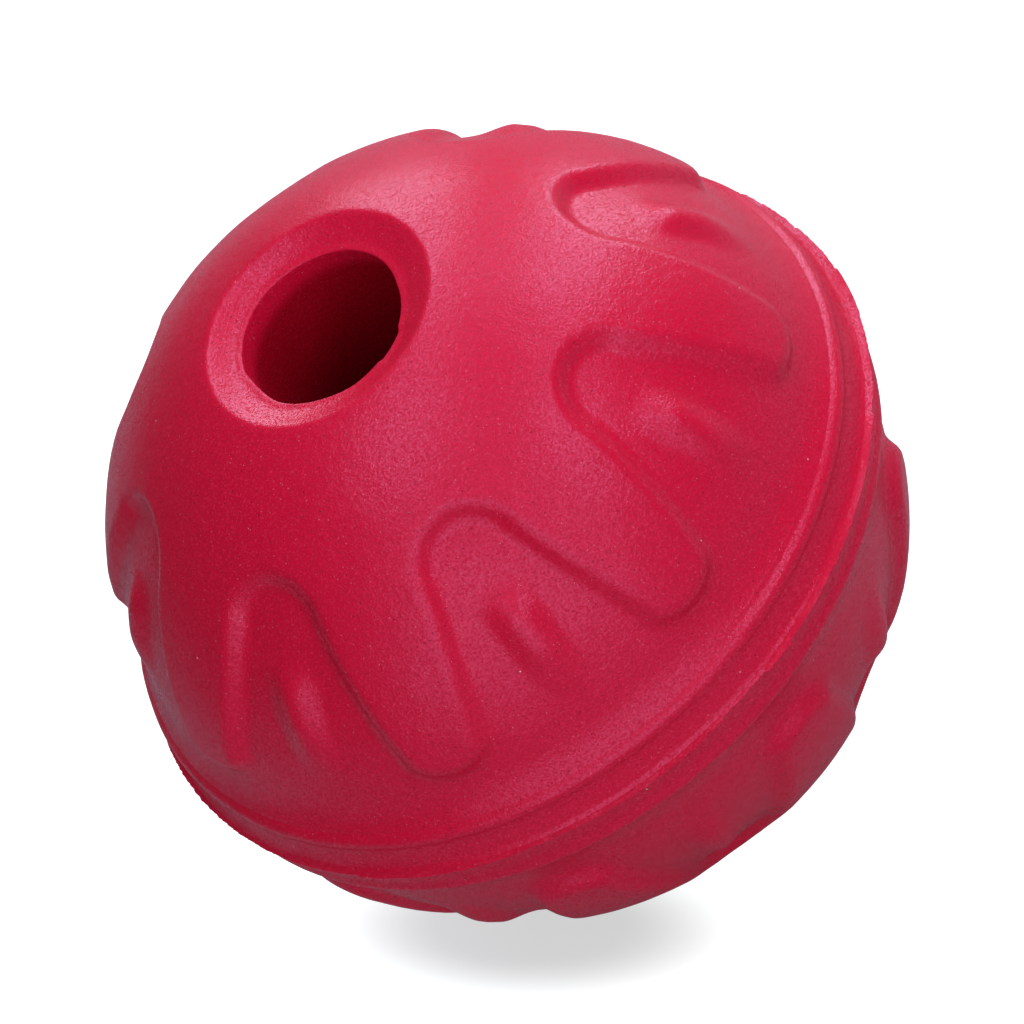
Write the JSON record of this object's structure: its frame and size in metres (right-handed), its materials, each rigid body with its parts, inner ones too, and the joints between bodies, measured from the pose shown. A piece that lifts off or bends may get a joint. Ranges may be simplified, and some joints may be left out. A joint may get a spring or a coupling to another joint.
{
  "type": "treat dispensing ball",
  "caption": "Hollow rubber ball with a round treat opening and throat, raised drip-shaped lobes on both halves and a bonded equator band.",
  "frame": {"origin": "centre of the ball, in the seam plane between the two halves", "axes": "+Z along the axis of the treat opening, out of the ball; a raised lobe points along -Y"},
  "size_m": [0.0832, 0.0832, 0.078],
  "materials": {
    "moulded_rubber": "matte natural rubber with a fine leathery grain, crimson red",
    "bond_rubber": "matte bonding rubber squeezed out as a thin flash lip, slightly brighter crimson"
  },
  "bodies": {
    "root": {"opening_half": "moulded_rubber", "closed_half": "moulded_rubber", "seam_bond": "bond_rubber"}
  },
  "joints": []
}
